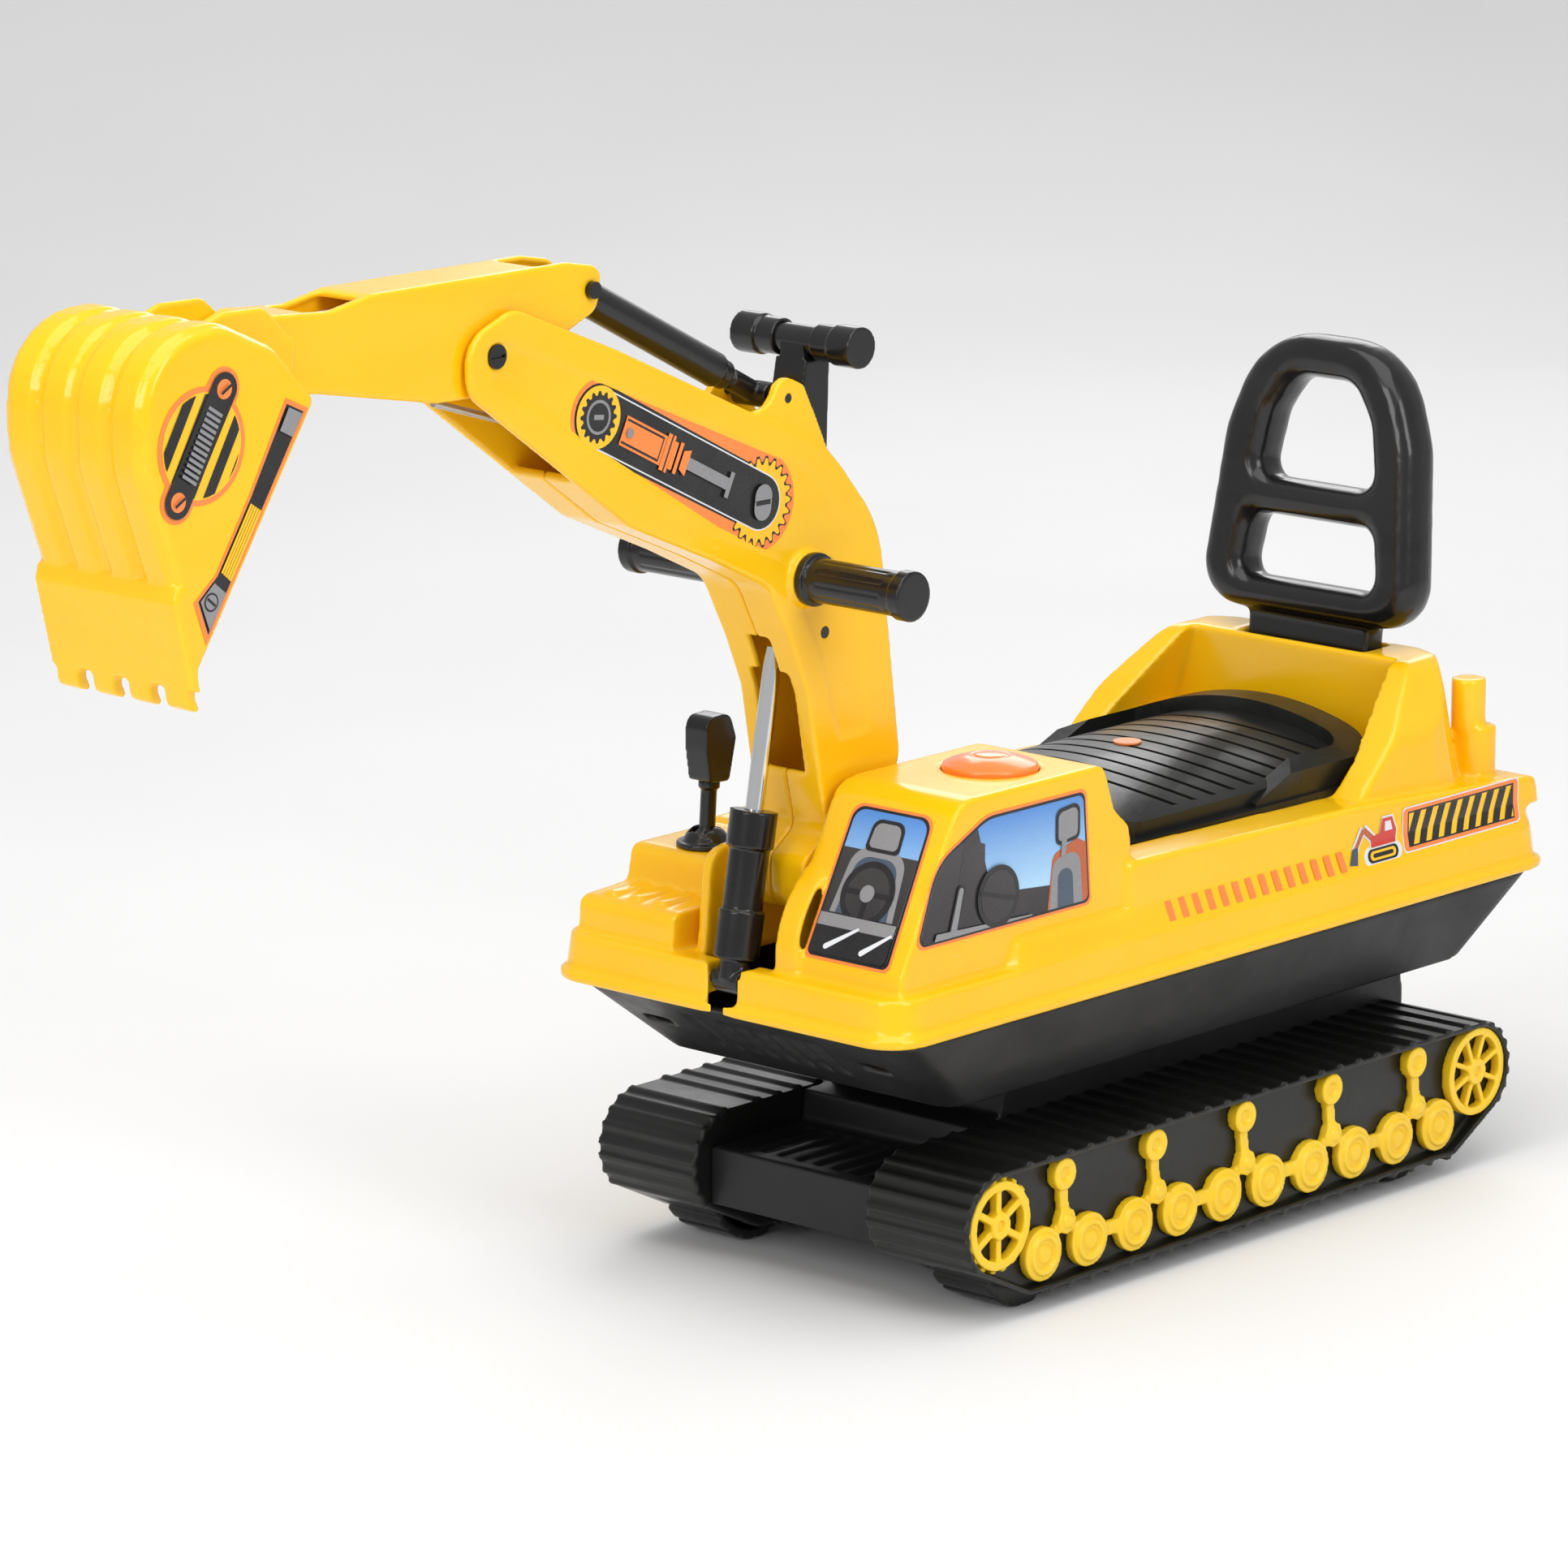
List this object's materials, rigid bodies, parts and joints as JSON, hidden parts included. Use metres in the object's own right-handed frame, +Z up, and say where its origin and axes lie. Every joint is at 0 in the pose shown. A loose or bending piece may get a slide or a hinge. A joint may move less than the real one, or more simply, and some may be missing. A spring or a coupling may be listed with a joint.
{
  "type": "ride on digger",
  "caption": "Ride-on toy digger: tracked base on hidden wheels, storage seat with backrest, and a lever-worked boom, dipper and toothed bucket.",
  "frame": {"origin": "on the floor, under the middle of the whole length and width", "axes": "+X forward to the bucket, +Y to the rider's left, +Z up"},
  "size_m": [1.038, 0.268, 0.5946],
  "materials": {
    "black_plastic": "moulded black polypropylene with a soft gloss",
    "wheel_plastic": "hard black plastic wheel",
    "black_grip": "smooth black plastic grip",
    "yellow_plastic": "glossy golden yellow moulded plastic",
    "yellow_trim": "yellow moulded trim",
    "orange_plastic": "orange moulded plastic",
    "chrome": "bright plated rod",
    "black_pins": "black pin and screw heads",
    "zinc_steel": "zinc plated steel"
  },
  "bodies": {
    "chassis": {"base_frame": "black_plastic", "track_left": "black_plastic", "track_right": "black_plastic", "sprocket_left": "yellow_trim", "sprocket_right": "yellow_trim", "rollers_left": "yellow_trim", "rollers_right": "yellow_trim", "idler_left": "yellow_trim", "idler_right": "yellow_trim", "front_axle": "zinc_steel", "rear_axle": "zinc_steel", "axle_caps": "zinc_steel", "base_screws": "zinc_steel", "lower_hull": "black_plastic", "upper_deck": "yellow_plastic", "deck_screws": "zinc_steel", "boom_pin": "zinc_steel", "lift_foot_pin": "zinc_steel", "backrest": "black_plastic", "backrest_screws": "zinc_steel", "seat_hinge_rod": "zinc_steel", "horn_spring": "zinc_steel", "horn_box": "black_plastic", "joystick_boot": "black_grip"},
    "front_left_wheel": {"wheel_front_left": "wheel_plastic"},
    "front_right_wheel": {"wheel_front_right": "wheel_plastic"},
    "rear_left_wheel": {"wheel_rear_left": "wheel_plastic"},
    "rear_right_wheel": {"wheel_rear_right": "wheel_plastic"},
    "seat": {"seat_lid": "black_plastic", "seat_plug": "orange_plastic"},
    "horn": {"horn_button": "orange_plastic"},
    "joystick": {"joystick_stem": "black_plastic", "joystick_knob": "black_plastic"},
    "boom": {"boom_left": "yellow_plastic", "boom_right": "yellow_plastic", "boom_screws": "black_pins", "grip_rod": "zinc_steel", "grip_left": "black_grip", "grip_right": "black_grip", "ear_pin": "black_pins", "tip_pin": "black_pins", "lever_pin": "zinc_steel"},
    "lift_outer": {"lift_barrel": "black_plastic"},
    "lift_inner": {"lift_rod": "chrome"},
    "lever": {"lever_stem": "black_plastic", "lever_bar": "black_plastic", "lever_caps": "black_grip"},
    "wire": {"push_rod": "zinc_steel"},
    "dipper": {"dipper_arm": "yellow_plastic", "dipper_pin": "black_pins", "bucket_pin": "black_pins"},
    "ram_inner": {"ram_rod": "black_plastic"},
    "ram_outer": {"ram_tube": "black_plastic"},
    "scoop": {"bucket": "yellow_plastic"},
    "curl_wire": {"bucket_rod": "zinc_steel"}
  },
  "joints": [
    {"name": "front_left_wheel_spin", "type": "hinge", "parent": "chassis", "child": "front_left_wheel", "pos_m": [-0.057, 0.097, 0.036], "axis": [0, 1, 0], "continuous": true},
    {"name": "front_right_wheel_spin", "type": "hinge", "parent": "chassis", "child": "front_right_wheel", "pos_m": [-0.057, -0.097, 0.036], "axis": [0, 1, 0], "continuous": true},
    {"name": "rear_left_wheel_spin", "type": "hinge", "parent": "chassis", "child": "rear_left_wheel", "pos_m": [-0.387, 0.097, 0.036], "axis": [0, 1, 0], "continuous": true},
    {"name": "rear_right_wheel_spin", "type": "hinge", "parent": "chassis", "child": "rear_right_wheel", "pos_m": [-0.387, -0.097, 0.036], "axis": [0, 1, 0], "continuous": true},
    {"name": "seat_open", "type": "hinge", "parent": "chassis", "child": "seat", "pos_m": [-0.162, 0, 0.227], "axis": [0, 1, 0], "range_deg": [0, 65]},
    {"name": "horn_press", "type": "slide", "parent": "chassis", "child": "horn", "axis": [0, 0, -1], "range_m": [0, 0.004], "stiffness_N_per_m": 600, "deforming": ["horn_spring"]},
    {"name": "joystick_tilt", "type": "hinge", "parent": "chassis", "child": "joystick", "pos_m": [-0.015, -0.076, 0.232], "axis": [0, 1, 0], "range_deg": [-14, 14]},
    {"name": "boom_lift", "type": "hinge", "parent": "chassis", "child": "boom", "pos_m": [-0.001, 0, 0.232], "axis": [0, 1, 0], "range_deg": [0, 25]},
    {"name": "lift_tilt", "type": "hinge", "parent": "chassis", "child": "lift_outer", "pos_m": [0.047, 0, 0.181], "axis": [0, 1, 0], "range_deg": [0, 17.4]},
    {"name": "lift_stroke", "type": "slide", "parent": "lift_outer", "child": "lift_inner", "axis": [-0.1843, 0, 0.9829], "range_m": [-0.0203, 0]},
    {"name": "lever_pull", "type": "hinge", "parent": "boom", "child": "lever", "pos_m": [-0.003, 0, 0.404], "axis": [0, -1, 0], "range_deg": [0, 28]},
    {"name": "wire_push", "type": "slide", "parent": "boom", "child": "wire", "axis": [0.9556, 0, 0.2946], "range_m": [-0.0205, 0]},
    {"name": "dipper_swing", "type": "hinge", "parent": "boom", "child": "dipper", "pos_m": [0.25, 0, 0.548], "axis": [0, 1, 0], "range_deg": [0, 40]},
    {"name": "bucket_curl", "type": "hinge", "parent": "dipper", "child": "scoop", "pos_m": [0.407, 0, 0.563], "axis": [0, 1, 0], "range_deg": [0, 40]},
    {"name": "curl_wire_slide", "type": "slide", "parent": "dipper", "child": "curl_wire", "axis": [1, 0, 0], "range_m": [-0.0122, 0]},
    {"name": "ram_tilt", "type": "hinge", "parent": "boom", "child": "ram_inner", "pos_m": [0.029, 0, 0.497], "axis": [0, -1, 0], "range_deg": [0, 6.3]},
    {"name": "ram_stroke", "type": "slide", "parent": "ram_inner", "child": "ram_outer", "axis": [0.8882, 0, 0.4594], "range_m": [0, 0.0508]}
  ],
  "couplings": [
    {"joint": "lift_tilt", "follows": "boom_lift", "ratio": 0.6904},
    {"joint": "lift_stroke", "follows": "boom_lift", "m_per_rad": -0.04595},
    {"joint": "wire_push", "follows": "lever_pull", "m_per_rad": -0.04154},
    {"joint": "dipper_swing", "follows": "lever_pull", "ratio": 1.4286},
    {"joint": "bucket_curl", "follows": "lever_pull", "ratio": 1.4286},
    {"joint": "curl_wire_slide", "follows": "lever_pull", "m_per_rad": -0.02456},
    {"joint": "ram_tilt", "follows": "lever_pull", "ratio": 0.22143},
    {"joint": "ram_stroke", "follows": "lever_pull", "m_per_rad": 0.10354}
  ]
}
